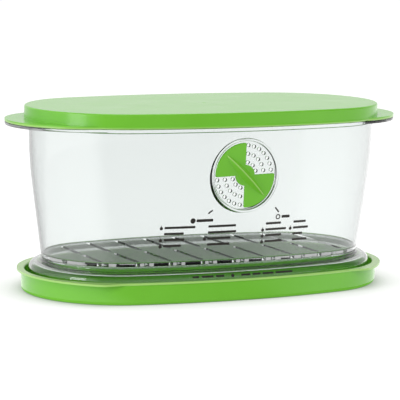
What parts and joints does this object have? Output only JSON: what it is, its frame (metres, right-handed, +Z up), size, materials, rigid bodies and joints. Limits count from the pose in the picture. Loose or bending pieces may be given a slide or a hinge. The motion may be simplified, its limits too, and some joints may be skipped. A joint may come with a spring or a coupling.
{
  "type": "produce keeper",
  "caption": "Oval food keeper: clear tapered container in a base tray, with a tabbed lid and a quarter-turn round air vent in its front wall.",
  "frame": {"origin": "middle of the tray's underside, at the middle of the whole keeper's footprint", "axes": "+X along the length, +Y to the back, away from the vent, +Z up"},
  "size_m": [0.3246, 0.1606, 0.1434],
  "materials": {
    "tray_green": "moulded, satin gloss",
    "clear_wall": "moulded, clear and glossy",
    "lid_green": "moulded, satin gloss",
    "dial_green": "moulded, satin gloss"
  },
  "bodies": {
    "base": {"base_tray": "tray_green"},
    "container": {"container": "clear_wall"},
    "lid": {"lid": "lid_green"},
    "dial": {"vent_dial": "dial_green"}
  },
  "joints": [
    {"name": "container_lift", "type": "slide", "parent": "base", "child": "container", "axis": [0, 0, 1], "range_m": [0, 0.06]},
    {"name": "lid_lift", "type": "slide", "parent": "container", "child": "lid", "axis": [0, 0, 1], "range_m": [0, 0.06]},
    {"name": "dial_turn", "type": "hinge", "parent": "container", "child": "dial", "pos_m": [0, -0.0733, 0.0952], "axis": [0, 1, 0], "range_deg": [0, 90]}
  ]
}
